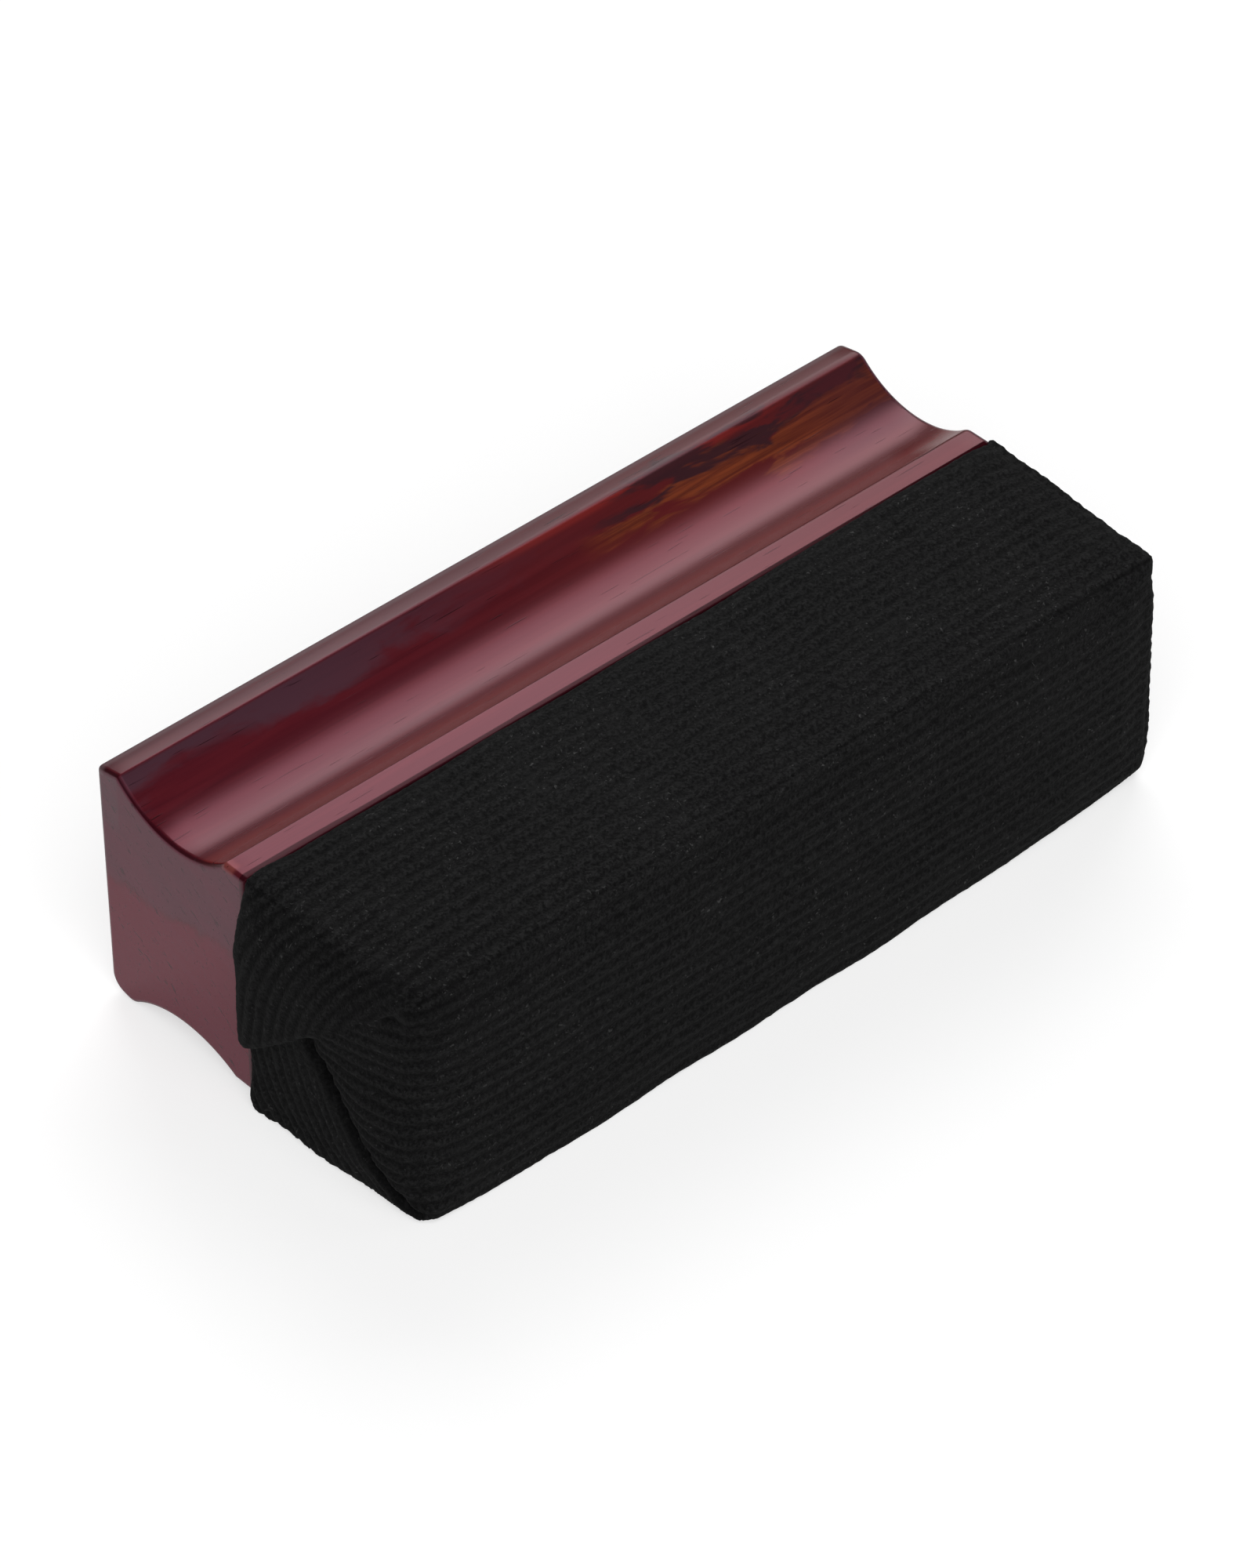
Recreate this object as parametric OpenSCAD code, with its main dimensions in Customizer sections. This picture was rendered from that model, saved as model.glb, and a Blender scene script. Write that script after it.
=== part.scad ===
// Chalkboard eraser: a coved wooden handle on a foam pad wrapped in corduroy.
// It lies on one long side. X runs along its length, Y from the wiping face to the handle's back, Z is up.

/* [Handle] */
// Height of the whole eraser, from the wiping face to the handle's back
eraser_h = 66.3; // [54:0.1:84]
// Height of the wooden handle
handle_h = 31.4; // [24:0.1:40]
// Length of the wooden handle
handle_len = 140; // [110:1:180]
// How far the base strip lies inside each side of the pad
base_inset = 0.9; // [0.2:0.1:3]
// How far the flange stands past each side of the pad, along the edges of the coves
flange_over = 0.4; // [0.1:0.1:3]
// How far each of the flange's flanks slopes in from there to the back
flank_in = 0.9; // [0.2:0.1:3]
// Height of the straight strip between the pad and the cove
base_strip = 4.6; // [2:0.1:8]
// Depth of the finger cove, below the side of the base strip
cove_depth = 3.7; // [2:0.1:6]
// Thickness of the flange above the cove
flange_t = 4.6; // [3.4:0.1:9]
// Radius along the two long edges of the back
back_r = 0.9; // [0.3:0.1:2]
// Chamfer that eases the handle's end edges
end_ease = 0.6; // [0.2:0.1:1.2]

/* [Pad] */
// Width across the pad, next to the handle, which the handle's widths follow
pad_w = 41.2; // [36:0.1:56]
// Crown of the pad's free long side
side_crown = 0.6; // [0.2:0.1:2]
// Radius round the edges of the wiping face
pad_edge_r = 2.6; // [2.2:0.1:5]
// Radius where the cloth turns in under the handle
tuck_r = 1.2; // [0.5:0.1:2]
// Thickness of the corduroy
cloth_t = 1.6; // [0.8:0.1:2]
// Thickness of the felt sheet behind the wiping face
felt_t = 4; // [2:0.5:8]
// Thickness of the core board under the handle
board_t = 6; // [5.6:0.2:9]
// Width of the cloth margin turned in over the core board
margin_w = 11; // [9:0.5:12]
// Gap between the cloth and the pad inside it
wrap_gap = 0.1; // [0.05:0.05:0.3]

/* [End folds] */
// How far the lower fold stands past the handle's end
fold_proud = 0.3; // [0:0.1:2]
// Distance from the wiping face to the point where the folds cross
fold_cross = 22; // [14:0.2:24]
// Step from the wiping face's cloth up to the lower fold
fold_step = 0.8; // [0.4:0.1:1.6]
// Height of the notch where the upper fold meets the handle
fold_notch = 10.6; // [6:0.2:16]
// Radius of a fold's rolled edge
fold_r = 1.4; // [1:0.1:1.6]

/* [Fixings] */
// Diameter of the dowels between the core board and the handle
dowel_d = 6; // [4:0.5:8]
// Length of a dowel
dowel_len = 20; // [14:1:28]
// Depth of a dowel in the core board
dowel_seat = 5; // [3:0.1:5]
// Distance between the two dowels
dowel_span = 80; // [40:1:90]
// Clearance round a dowel for glue
dowel_gap = 0.05; // [0.02:0.01:0.1]
// Room for glue past each end of a dowel
dowel_room = 0.5; // [0.2:0.1:0.6]
// Gap round the handle's tongue, inside the cloth margins
tongue_gap = 0.2; // [0.1:0.1:0.5]
// Width of a staple's crown
staple_w = 10; // [6:0.5:12]
// Length of a staple's legs
staple_leg = 6; // [4:0.5:7]
// Thickness of the staple wire
staple_wire = 0.7; // [0.5:0.1:0.8]
// Spacing of the staples along the long margins
staple_pitch = 26; // [16:1:40]
// Spacing of the staples across an end margin
end_staple_pitch = 14; // [13:0.5:16]

/* [Hidden] */

// Levels from the wiping face to the back
pad_t = eraser_h - handle_h;
wipe_y = -eraser_h / 2;
joint_y = wipe_y + pad_t;
base_y = joint_y + base_strip;
back_y = wipe_y + eraser_h;
flange_y = back_y - flange_t;

// Widths of the handle, and the height of its middle plane when the flange lies on the table
base_w = pad_w - 2 * base_inset;
flange_w = pad_w + 2 * flange_over;
back_w = flange_w - 2 * flank_in;
mid_z = flange_w / 2;

// Levels of the layers inside the cloth
felt_y = wipe_y + cloth_t + wrap_gap;
foam_y = felt_y + felt_t;
board_top_y = joint_y - cloth_t;
board_y = board_top_y - board_t;

// The wiping face's cloth forms the end of the pad, and the folds of both sides lie over it
fold_x = handle_len / 2 + fold_proud;
pad_len = 2 * (fold_x - fold_step);
core_len = pad_len - 2 * cloth_t;
window_len = core_len - 2 * margin_w;
window_w = pad_w - 2 * (cloth_t + margin_w);

// The cove's arc meets the edges of the base strip and of the wider flange, and touches the cove's floor.
// Where it touches is the root of a quadratic, written so that equal widths work too.
cove_open = flange_y - base_y;
cove_lip = (flange_w - base_w) / 2;
cove_rise = cove_depth + cove_lip;
cove_b = 2 * cove_depth * cove_open;
cove_c = cove_depth * (cove_open * cove_open + cove_rise * cove_lip);
cove_at = 2 * cove_c / (cove_b + sqrt(cove_b * cove_b + 4 * cove_lip * cove_c));
cove_r = (cove_at * cove_at + cove_depth * cove_depth) / (2 * cove_depth);

// Slope of the flange's flanks, from the edge of the cove to the back
flank_slope = (flange_w - back_w) / (2 * flange_t);
flank_turn = atan(flank_slope);

// Chamfer on a dowel's ends
dowel_ease = 0.6;
// Overlap of a cutter past the surface that it cuts
cut = 1;
// Steps in a quarter arc and in a crowned side
arc_steps = 6;
crown_steps = 8;

$fn = 64;

// Quarter arc of radius r about c, starting at the given angle, or its centre where the corner is sharp
function arc(c, r, from) =
    r > 0 ? [for (i = [0 : arc_steps]) let (turn = from + 90 * i / arc_steps) c + r * [cos(turn), sin(turn)]]
          : [c];

// Rectangle about the Y axis of the sketch, with one radius on its low corners and one on its high corners
function rounded(half_len, low, high, low_r, high_r) = concat(
    arc([-half_len + low_r, low + low_r], low_r, 180),
    arc([half_len - low_r, low + low_r], low_r, 270),
    arc([half_len - high_r, high - high_r], high_r, 0),
    arc([-half_len + high_r, high - high_r], high_r, 90)
);

// Rectangle like the one above with its corners cut at 45 degrees
function chamfered(half_len, low, high, c) = [
    [-half_len, low + c], [-half_len + c, low], [half_len - c, low], [half_len, low + c],
    [half_len, high - c], [half_len - c, high], [-half_len + c, high], [-half_len, high - c]
];

// Outline of the pad across its length, drawn in by inset: flat where it lies, crowned on the side above
function pad_outline(inset) =
    let (
        y0 = wipe_y + inset,
        y1 = joint_y - inset,
        z1 = pad_w - inset,
        r = max(pad_edge_r - inset, 0),
        t = max(tuck_r - inset, 0)
    )
    concat(
        arc([y0 + r, inset + r], r, 180),
        arc([y1 - t, inset + t], t, 270),
        arc([y1 - t, z1 - t], t, 0),
        [for (i = [1 : crown_steps - 1]) let (u = i / crown_steps)
            [(1 - u) * (y1 - t) + u * (y0 + r), z1 + 4 * side_crown * u * (1 - u)]],
        arc([y0 + r, z1 - r], r, 90)
    );

// Extrudes a sketch in Y and Z along X, about the middle of the length
module along_x(len) {
    rotate([90, 0, 90]) translate([0, 0, -len / 2]) linear_extrude(len) children();
}

// Extrudes a sketch in X and Z along Y, between two levels
module along_y(from, to) {
    translate([0, to, 0]) rotate([90, 0, 0]) linear_extrude(to - from) children();
}

module both_ends() {
    children();
    mirror([1, 0, 0]) children();
}

// Places its children at each dowel, with Z out of the core board into the handle
module at_dowels() {
    for (side = [-1, 1])
        translate([side * dowel_span / 2, board_top_y, mid_z]) rotate([-90, 0, 0]) children();
}

// Handle

// Upper half of the section before the cove is cut: base strip, flange edge and sloping flank
function half_section() = [
    [joint_y, 0], [joint_y, base_w / 2], [base_y, base_w / 2],
    [flange_y, flange_w / 2], [back_y, back_w / 2], [back_y, 0]
];

// Waste outside the round edge of the back, from the point where the round leaves the flank
module back_waste() {
    r = min(back_r, flange_t - end_ease);
    mid = [back_y - r, back_w / 2 + r * (flank_slope - 1 / cos(flank_turn))];
    difference() {
        translate(mid + [r * sin(flank_turn), 0]) square(2 * r);
        translate(mid) circle(r);
    }
}

module handle_section() {
    for (side = [0, 1])
        translate([0, mid_z]) mirror([0, side]) difference() {
            polygon(half_section());
            back_waste();
        }
}

module handle_block() {
    difference() {
        intersection() {
            along_x(handle_len) handle_section();
            linear_extrude(flange_w) polygon(chamfered(handle_len / 2, joint_y, back_y, end_ease));
        }
        both_ends() end_wedges();
    }
}

// Wedge that eases an end edge: the edge runs along Y from the origin, with air above and towards +X
module ease_wedge(len) {
    size = 4 * end_ease;
    rotate([0, 45, 0]) translate([-size, -end_ease, -end_ease / sqrt(2)])
        cube([2 * size, len + 2 * end_ease, size]);
}

// Wedges along the base strip and the flank, above and below
module end_wedges() {
    for (side = [0, 1])
        translate([handle_len / 2, 0, mid_z]) mirror([0, 0, side]) {
            translate([0, joint_y, base_w / 2]) ease_wedge(base_strip);
            translate([0, flange_y, flange_w / 2]) rotate([-flank_turn, 0, 0])
                ease_wedge(flange_t / cos(flank_turn));
        }
}

// Cutter for one finger cove, flared at both ends to ease the edges there
module cove_cutter() {
    half = handle_len / 2;
    rotate([0, 90, 0]) rotate_extrude() polygon([
        [0, -half - cut], [cove_r + end_ease + cut, -half - cut], [cove_r, -half + end_ease],
        [cove_r, half - end_ease], [cove_r + end_ease + cut, half + cut], [0, half + cut]
    ]);
}

module coves() {
    for (side = [0, 1])
        translate([0, base_y + cove_at, mid_z]) mirror([0, 0, side])
            translate([0, 0, base_w / 2 - cove_depth + cove_r]) cove_cutter();
}

// Tongue that fills the window between the cloth margins and is glued to the core board
module tongue() {
    translate([-window_len / 2 + tongue_gap, board_top_y, mid_z - window_w / 2 + tongue_gap])
        cube([window_len - 2 * tongue_gap, cloth_t + cut, window_w - 2 * tongue_gap]);
}

module handle() {
    color([0.34, 0.08, 0.11]) difference() {
        union() {
            handle_block();
            tongue();
        }
        coves();
        at_dowels() dowel_hole();
    }
}

// Dowels

module dowel_hole() {
    translate([0, 0, -dowel_seat - dowel_room])
        cylinder(d = dowel_d + 2 * dowel_gap, h = dowel_len + 2 * dowel_room);
}

module dowel() {
    r = dowel_d / 2;
    translate([0, 0, -dowel_seat]) rotate_extrude() polygon([
        [0, 0], [r - dowel_ease, 0], [r, dowel_ease],
        [r, dowel_len - dowel_ease], [r - dowel_ease, dowel_len], [0, dowel_len]
    ]);
}

module handle_dowels() {
    color([0.82, 0.68, 0.48]) at_dowels() dowel();
}

// Pad inside the cloth

// Slice of the pad inside the cloth, between two levels
module core_slab(from, to) {
    intersection() {
        along_x(core_len - 2 * wrap_gap) polygon(pad_outline(cloth_t + wrap_gap));
        translate([-core_len, from, -cut]) cube([2 * core_len, to - from, pad_w + side_crown + 2 * cut]);
    }
}

// The board reaches the cloth margins, so its top is level with the cavity's
module core_board() {
    color([0.75, 0.58, 0.38]) difference() {
        along_x(core_len - 2 * wrap_gap) board_section();
        at_dowels() dowel_hole();
        staples();
    }
}

module board_section() {
    translate([board_y, cloth_t + wrap_gap]) square([board_t, pad_w - 2 * (cloth_t + wrap_gap)]);
}

module foam_block() {
    color([0.90, 0.86, 0.70]) core_slab(foam_y, board_y);
}

module felt_facing() {
    color([0.55, 0.55, 0.56]) core_slab(felt_y, foam_y);
}

// Cloth

// Outer form of the pad, round at every edge
module pad_body() {
    top_z = pad_w + side_crown;
    intersection() {
        along_x(pad_len) polygon(pad_outline(0));
        translate([0, 0, -cut]) linear_extrude(top_z + 2 * cut)
            polygon(rounded(pad_len / 2, wipe_y, joint_y, pad_edge_r, tuck_r));
        along_y(wipe_y - cut, joint_y + cut) polygon(rounded(pad_len / 2, 0, top_z, pad_edge_r, pad_edge_r));
    }
}

// One flap of an envelope fold: a soft plate between balls, each given as depth, height, reach and radius
module flap(balls) {
    hull()
        for (b = balls)
            translate([b[2] - b[3], wipe_y + b[0], b[1]]) sphere(b[3], $fn = 16);
}

// The cloth of the lower side folds up over the end first, and that of the upper side folds down over it
module end_folds() {
    low = pad_edge_r;
    high = pad_w - pad_edge_r;
    front = pad_edge_r;
    back = pad_t - fold_r;
    cross_z = pad_w - (pad_w - fold_notch) * fold_cross / pad_t;
    upper_x = fold_x + cloth_t;
    flap([
        [front, low, fold_x, pad_edge_r],
        [back - pad_edge_r, low, fold_x, pad_edge_r],
        [back, low, fold_x, fold_r],
        [back, fold_notch, fold_x, fold_r],
        [fold_cross, cross_z, fold_x, fold_r]
    ]);
    flap([
        [front, high, fold_x, pad_edge_r],
        [back - pad_edge_r, high, fold_x, pad_edge_r],
        [back, high, fold_x, fold_r],
        [back, high - pad_edge_r, upper_x, fold_r],
        [back, fold_notch, upper_x, fold_r]
    ]);
}

module corduroy_cover() {
    color([0.07, 0.07, 0.075]) difference() {
        union() {
            pad_body();
            both_ends() end_folds();
        }
        along_x(core_len) polygon(pad_outline(cloth_t));
        translate([-window_len / 2, board_top_y - cut, mid_z - window_w / 2])
            cube([window_len, cloth_t + 2 * cut, window_w]);
        staples();
    }
}

// Staples

// Staple with its crown along X, level with the top of the cloth margin, and its legs down in the board
module staple() {
    translate([-staple_w / 2, -staple_wire, -staple_wire / 2]) cube([staple_w, staple_wire, staple_wire]);
    for (side = [-1, 1])
        translate([side * (staple_w - staple_wire) / 2 - staple_wire / 2, -staple_leg, -staple_wire / 2])
            cube([staple_wire, staple_leg, staple_wire]);
}

// Staples in rows along the two long margins, and a pair across each end margin
module staples() {
    per_row = floor((window_len - staple_w) / staple_pitch);
    for (i = [0 : per_row], side = [-1, 1])
        translate([(i - per_row / 2) * staple_pitch, joint_y, mid_z + side * (window_w + margin_w) / 2])
            staple();
    for (end = [-1, 1], side = [-1, 1])
        translate([end * (window_len + margin_w) / 2, joint_y, mid_z + side * end_staple_pitch / 2])
            rotate([0, 90, 0]) staple();
}

module cover_staples() {
    color("silver") staples();
}

handle();
handle_dowels();
core_board();
foam_block();
felt_facing();
corduroy_cover();
cover_staples();
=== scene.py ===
import math

import bpy
import numpy as np
from mathutils import Matrix, Vector


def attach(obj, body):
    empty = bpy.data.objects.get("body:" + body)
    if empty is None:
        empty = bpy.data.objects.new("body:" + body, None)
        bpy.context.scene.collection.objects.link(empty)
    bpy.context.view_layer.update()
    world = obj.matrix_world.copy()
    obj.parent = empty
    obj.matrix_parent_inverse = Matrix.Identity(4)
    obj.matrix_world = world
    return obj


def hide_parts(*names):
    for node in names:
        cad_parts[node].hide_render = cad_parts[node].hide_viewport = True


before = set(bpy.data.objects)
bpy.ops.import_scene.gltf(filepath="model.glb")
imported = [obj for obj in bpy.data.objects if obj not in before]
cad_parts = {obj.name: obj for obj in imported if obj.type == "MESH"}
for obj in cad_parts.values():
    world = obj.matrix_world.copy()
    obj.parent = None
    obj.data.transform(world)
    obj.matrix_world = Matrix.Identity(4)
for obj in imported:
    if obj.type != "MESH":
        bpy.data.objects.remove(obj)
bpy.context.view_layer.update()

# Sizes in millimetres, as in the frame
MM = 0.001
WIPE_Y = -33.15
JOINT_Y = 1.75
BACK_Y = 33.15
HANDLE_ENDS = (-69.7, 70.6)
HANDLE_Z = 21.0
PAD_L = 69.6
PAD_T = JOINT_Y - WIPE_Y
PAD_W = 41.2
PAD_Z = PAD_W / 2
WINDOW = (56.9, 8.0)
SEED = 7
rng = np.random.default_rng(SEED)


def grow(value, start, full):
    """A share that goes smoothly from 0 at start to 1 at full, either way round."""
    t = np.clip((value - start) / (full - start), 0.0, 1.0)
    return t * t * (3 - 2 * t)


def bell(*gaps):
    """A share of 1 where every gap is 0, gone by a gap of about 2."""
    return np.exp(-sum(gap ** 2 for gap in gaps))


def mesh_object(name, points, faces):
    """A mesh from points in millimetres and lists of corner numbers."""
    mesh = bpy.data.meshes.new(name)
    mesh.from_pydata((np.asarray(points) * MM).tolist(), [], [list(map(int, f)) for f in faces])
    mesh.update()
    obj = bpy.data.objects.new(name, mesh)
    bpy.context.scene.collection.objects.link(obj)
    return obj


def applied(obj):
    """Puts the result of the object's modifiers in its mesh."""
    graph = bpy.context.evaluated_depsgraph_get()
    mesh = bpy.data.meshes.new_from_object(obj.evaluated_get(graph))
    obj.modifiers.clear()
    obj.data = mesh


# Handle: a moulded length of hardwood
BASE_W = 39.4
FLANGE_W = 42.0
BACK_W = 40.2
STRIP_H = 4.6
FLANGE_H = 4.6
BASE_Y = JOINT_Y + STRIP_H
FLANGE_Y = BACK_Y - FLANGE_H

# Values of the upper and the lower side
COVE_DEPTHS = (3.7, 2.7)
BACK_R = (1.0, 3.0)

# Radii at the left and the right end, for the flange on the upper and the lower side
FLANGE_R = ((0.5, 2.6), (2.4, 2.0))
BASE_R = (0.45, 1.6)

# Radius at the joint, least radius, and easing of the left and the right end with the rim of its cap
JOINT_R = 0.3
LEAST_R = 0.06
END_EASE = (0.8, 1.3)
CAP_RIM = 0.25

# Points on each stretch of the section, and what its straight stretches leave free at their ends
JOINT_STEPS, STRIP_STEPS, ROUND_STEPS, COVE_STEPS, BACK_STEPS = 4, 4, 9, 48, 7
STRIP_FREE = (0.8, 0.3)
BACK_FREE = 1.5

# Sections along the length
EASE_STEPS = 7
STRAIGHT_L = 66.0
STRAIGHT_STEPS = 34
SHARP_ANGLE = 35

# Tongue as half length, half width and height, and the dowels' bores
TONGUE = (56.7, 7.8, 1.6)
TONGUE_ROOT = 1.0
DOWEL_AT = 40.0
DOWEL_R = 3.05
DOWEL_DEEP = 15.65
BORE_START = JOINT_Y - 3.0


def cove_arc(deep):
    """Middle and radius of the arc that meets both edges of the cove and touches its floor."""
    wide, lip = FLANGE_Y - BASE_Y, (FLANGE_W - BASE_W) / 2
    b = 2 * deep * wide
    c = deep * (wide ** 2 + (deep + lip) * lip)
    touch = 2 * c / (b + math.sqrt(b * b + 4 * lip * c))
    radius = (touch ** 2 + deep ** 2) / (2 * deep)
    return np.array([BASE_Y + touch, BASE_W / 2 - deep + radius]), radius


FLANK = math.atan2((FLANGE_W - BACK_W) / 2, BACK_Y - FLANGE_Y)
FLANK_OUT = np.array([math.sin(FLANK), math.cos(FLANK)])
FLANK_WAY = np.array([math.cos(FLANK), -math.sin(FLANK)])


def arc(centre, radius, start, stop, count):
    """Points of an arc between two bearings in degrees."""
    turn = np.radians(np.linspace(start, stop, count))
    return np.stack([centre[0] + radius * np.cos(turn), centre[1] + radius * np.sin(turn)], 1)


def bearing(way):
    """Direction of a vector in degrees."""
    return math.degrees(math.atan2(way[1], way[0]))


def handle_half(deep, base_r, flange_r, round_r, depth):
    """Half of the section, from the joint to the back, as (y, z) from the middle, drawn in by depth."""
    cove, cove_r = cove_arc(deep)
    hollow = cove_r + depth
    side = BASE_W / 2 - depth
    low_r = max(base_r - depth, LEAST_R)
    reach = math.sqrt((hollow + low_r) ** 2 - (cove[1] - side + low_r) ** 2)
    low = np.array([cove[0] - reach, side - low_r])
    low_turn = bearing(cove - low)

    flank = FLANK_OUT @ (FLANGE_Y, FLANGE_W / 2) - depth
    far_r = max(flange_r - depth, LEAST_R)
    rise = flank - far_r - FLANK_OUT @ cove
    far = cove + FLANK_OUT * rise + FLANK_WAY * math.sqrt((hollow + far_r) ** 2 - rise ** 2)
    far_turn = bearing(cove - far)

    joint, joint_r = JOINT_Y + depth, max(JOINT_R - depth, LEAST_R)
    back, back_r = BACK_Y - depth, max(round_r - depth, LEAST_R)
    corner = (back - back_r, (flank - back_r - FLANK_OUT[0] * (back - back_r)) / FLANK_OUT[1])
    return np.concatenate([
        arc((joint + joint_r, side - joint_r), joint_r, 180, 90, JOINT_STEPS),
        np.linspace([joint + STRIP_FREE[0], side], [low[0] - STRIP_FREE[1], side], STRIP_STEPS),
        arc(low, low_r, 90, low_turn, ROUND_STEPS),
        arc(cove, hollow, low_turn - 180, far_turn - 180, COVE_STEPS)[1:-1],
        arc(far, far_r, far_turn, bearing(FLANK_OUT), ROUND_STEPS),
        arc(corner, back_r, bearing(FLANK_OUT), 0, ROUND_STEPS),
        np.linspace([back, corner[1] - BACK_FREE], [back, 0], BACK_STEPS),
    ])


def handle_stations():
    """Places along the length, each with how far the section is drawn in there."""
    turns = np.radians(np.linspace(0, 90, EASE_STEPS))
    ends = []
    for side, reach, ease in zip((-1, 1), HANDLE_ENDS, END_EASE):
        eased = [(reach - side * ease * (1 - math.sin(t)), ease * (1 - math.cos(t))) for t in turns]
        ends.append(eased + [(reach, ease + CAP_RIM)])
    straight = [(x, 0.0) for x in np.linspace(-STRAIGHT_L, STRAIGHT_L, STRAIGHT_STEPS)]
    return ends[0][::-1] + straight + ends[1]


def handle_body():
    """Sections along the length, with eased ends and caps laid in strips."""
    stations = handle_stations()
    points, faces = [], []
    for x, depth in stations:
        share = grow(x, *HANDLE_ENDS)
        base_r, *flange_r = (r[0] + (r[1] - r[0]) * share for r in (BASE_R, *FLANGE_R))
        upper, lower = (handle_half(COVE_DEPTHS[n], base_r, flange_r[n], BACK_R[n], depth) for n in (0, 1))
        outline = np.concatenate([upper, (lower * [1, -1])[-2::-1]])
        points.append(np.column_stack([np.full(len(outline), x), outline[:, 0], outline[:, 1] + HANDLE_Z]))
    count = len(points[0])
    ring = np.arange(count)
    for s in range(len(stations) - 1):
        a, b = s * count + ring, (s + 1) * count + ring
        faces += np.stack([a, b, np.roll(b, -1), np.roll(a, -1)], 1).tolist()
    for first, flip in ((0, False), ((len(stations) - 1) * count, True)):
        for n in range(count // 2):
            strip = [first + c for c in (n, n + 1, count - 2 - n, count - 1 - n)]
            strip = list(dict.fromkeys(strip))
            faces.append(strip[::-1] if flip else strip)
    return mesh_object("handle_wood", np.concatenate(points), faces)


def box_mesh(name, low, high):
    """A box between two corners."""
    corners = [[(low, high)[i][0], (low, high)[j][1], (low, high)[k][2]]
               for i in (0, 1) for j in (0, 1) for k in (0, 1)]
    sides = [(0, 1, 3, 2), (4, 6, 7, 5), (0, 4, 5, 1), (2, 3, 7, 6), (0, 2, 6, 4), (1, 5, 7, 3)]
    return mesh_object(name, corners, sides)


def rod_mesh(name, x, low, high, radius, sides=40):
    """A round rod along Y."""
    turn = 2 * np.pi * np.arange(sides) / sides
    rings = [np.column_stack([x + radius * np.cos(turn), np.full(sides, y), HANDLE_Z + radius * np.sin(turn)])
             for y in (low, high)]
    n = np.arange(sides)
    walls = np.stack([n, np.roll(n, -1), np.roll(n, -1) + sides, n + sides], 1).tolist()
    return mesh_object(name, np.concatenate(rings), walls + [n[::-1].tolist(), (n + sides).tolist()])


def shaped(obj, tool, operation):
    """Joins the tool to the object or cuts it out, and removes the tool."""
    step = obj.modifiers.new("shape", "BOOLEAN")
    step.object, step.operation, step.solver = tool, operation, "EXACT"
    applied(obj)
    bpy.data.objects.remove(tool)


def make_handle():
    """The moulded body with its tongue and the bores for the dowels."""
    handle = handle_body()
    tongue_x, tongue_z, tongue_y = TONGUE
    shaped(handle, box_mesh("tongue", (-tongue_x, JOINT_Y - tongue_y, HANDLE_Z - tongue_z),
                            (tongue_x, JOINT_Y + TONGUE_ROOT, HANDLE_Z + tongue_z)), "UNION")
    for side in (-1, 1):
        shaped(handle, rod_mesh("bore", side * DOWEL_AT, BORE_START, DOWEL_DEEP, DOWEL_R), "DIFFERENCE")
    handle.data.shade_smooth()
    handle.data.set_sharp_from_angle(angle=math.radians(SHARP_ANGLE))
    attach(handle, "root")
    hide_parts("handle")
    return handle


# Cover: one sheet of corduroy folded round the pad, with the sizes of its mesh and limits of its points
CELL = 0.35
CELL_X = 0.86
END_CELL = 0.4
END_ZONE = 7.0
GRAIN = 0.03
LEAST_Z = 0.03
MARGIN_GAP = 0.15

# Roundings of the pad's form, and over what length each takes hold
LONG_R = 1.6
TUCK_R = 1.2
END_R = 2.4
UPRIGHT_R = 4.5
END_REACH = 16.0
TUCK_REACH = 7.0
UPRIGHT_REACH = 9.0
UPRIGHT_FADE = (16.0, 6.0)

# Corners of the wiping face: right 1 or left -1, top 1 or bottom 0, and how many times the radius
CORNERS = ((1, 1, 1.1), (1, 0, 1.0), (-1, 0, 1.3), (-1, 1, 1.3))
CORNER_REACH = 6.0

# Swelling of the filled pad, as a cloth simulation
COARSE = 3.2
SWELL_SCALE = 10.0
SWELL_PRESSURE = 3.0
SWELL_CAP = 0.7
SWELL_QUALITY = 8
SWELL_FRAMES = 20


def steps(low, high, size):
    """Places from low to high, about that size apart."""
    return np.linspace(low, high, max(1, round((high - low) / size)) + 1)


def cover_axes(cell, cell_x, end_cell):
    """Places of the sheet's mesh lines along the length, from wiping face to handle, and up."""
    inner = PAD_L - END_ZONE
    along = np.concatenate([steps(-PAD_L, -inner, end_cell)[:-1], steps(-inner, inner, cell_x),
                            steps(inner, PAD_L, end_cell)[1:]])
    return along, steps(0, PAD_T, cell), steps(0, PAD_W, cell)


def sheet_lattice(axes):
    """Nodes on the faces of the pad's box and quads between them, with a window towards the handle."""
    shape = tuple(len(a) for a in axes)
    last = [n - 1 for n in shape]
    i, j, k = np.indices(shape)
    shell = (i % last[0] == 0) | (j % last[1] == 0) | (k % last[2] == 0)
    x, z = axes[0][i], axes[2][k]
    window = (j == last[1]) & (abs(x) < WINDOW[0]) & (abs(z - HANDLE_Z) < WINDOW[1])
    kept = shell & ~(window & (i % last[0] != 0) & (k % last[2] != 0))
    number = np.full(shape, -1)
    number[kept] = np.arange(kept.sum())
    faces = []
    for a, flip in ((number[0], True), (number[-1], False), (number[:, 0], False), (number[:, -1], True),
                    (number[:, :, 0], True), (number[:, :, -1], False)):
        quads = np.stack([a[:-1, :-1], a[1:, :-1], a[1:, 1:], a[:-1, 1:]], -1).reshape(-1, 4)
        quads = quads[(quads >= 0).all(1)]
        faces.append(quads[:, ::-1] if flip else quads)
    nodes = np.stack([i[kept], j[kept], k[kept]], 1)
    return nodes, np.concatenate(faces)


def corner_share(q, side, top, reach):
    """How near the points are to a corner of the wiping face, from 0 to 1."""
    gap = q - np.array([side * PAD_L, 0, top * PAD_W])
    return bell(*gap.T / reach)


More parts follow.
